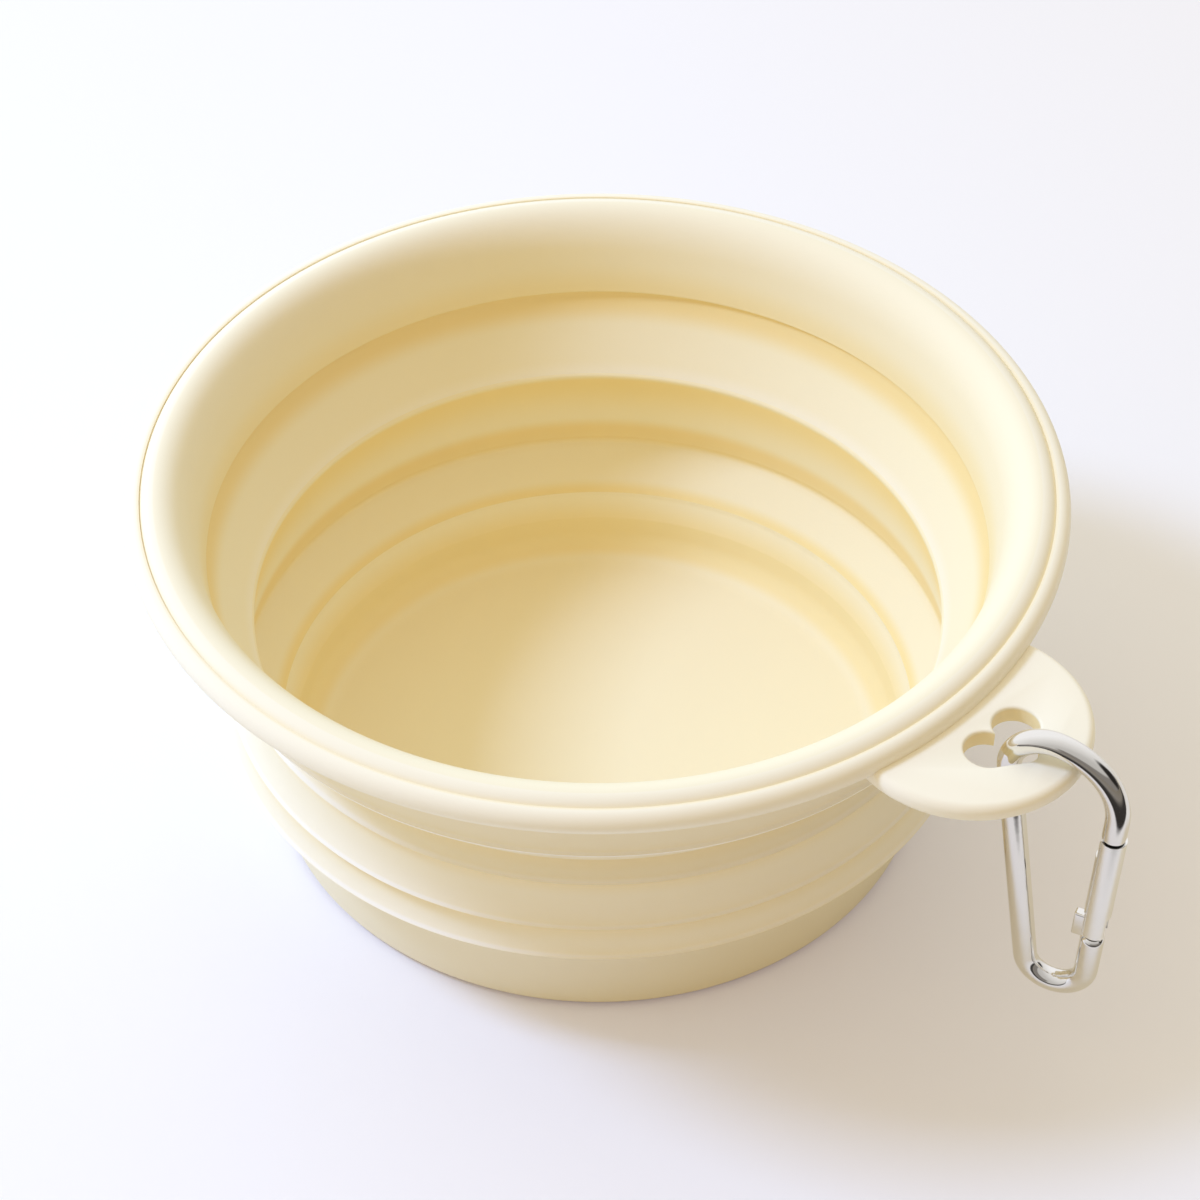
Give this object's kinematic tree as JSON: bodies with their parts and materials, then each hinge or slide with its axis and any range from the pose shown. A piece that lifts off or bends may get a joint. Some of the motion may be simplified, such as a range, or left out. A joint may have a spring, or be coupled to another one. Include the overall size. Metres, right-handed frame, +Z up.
{
  "type": "collapsible pet bowl",
  "caption": "Round folding bowl with a hard rim, soft folding wall, flat base and hanging tab with a heart-shaped hole carrying a gated snap hook.",
  "frame": {"origin": "centre of the base's resting face, on the table", "axes": "+Z up along the bowl's axis, +X from the bowl's axis through the middle of the hanging tab"},
  "size_m": [0.1538, 0.1304, 0.0601],
  "materials": {
    "hard_plastic": "satin moulded",
    "soft_wall": "smooth matte",
    "soft_fold": "thin translucent",
    "base_plastic": "smooth matte",
    "plated_steel": "polished plating"
  },
  "bodies": {
    "base": {"base_cup": "base_plastic", "lower_fold": "soft_fold"},
    "middle": {"middle_band": "soft_wall", "upper_fold": "soft_fold"},
    "rim": {"rim_ring": "hard_plastic", "rim_crown": "soft_wall"},
    "hook": {"hook_wire": "plated_steel", "gate_pin": "plated_steel"},
    "gate": {"gate": "plated_steel"}
  },
  "joints": [
    {"name": "lower_collapse", "type": "slide", "parent": "base", "child": "middle", "axis": [0, 0, -1], "range_m": [0, 0.0144], "deforming": ["lower_fold"]},
    {"name": "upper_collapse", "type": "slide", "parent": "middle", "child": "rim", "axis": [0, 0, -1], "range_m": [0, 0.024], "deforming": ["upper_fold"]},
    {"name": "hook_swing", "type": "hinge", "parent": "rim", "child": "hook", "pos_m": [0.07797, 0.00098, 0.05327], "axis": [0.342, -0.9397, 0], "range_deg": [-12, 120]},
    {"name": "gate_open", "type": "hinge", "parent": "hook", "child": "gate", "pos_m": [0.08678, 0.00419, 0.04304], "axis": [-0.342, 0.9397, 0], "range_deg": [0, 14], "stiffness_Nm_per_rad": 0.03}
  ]
}
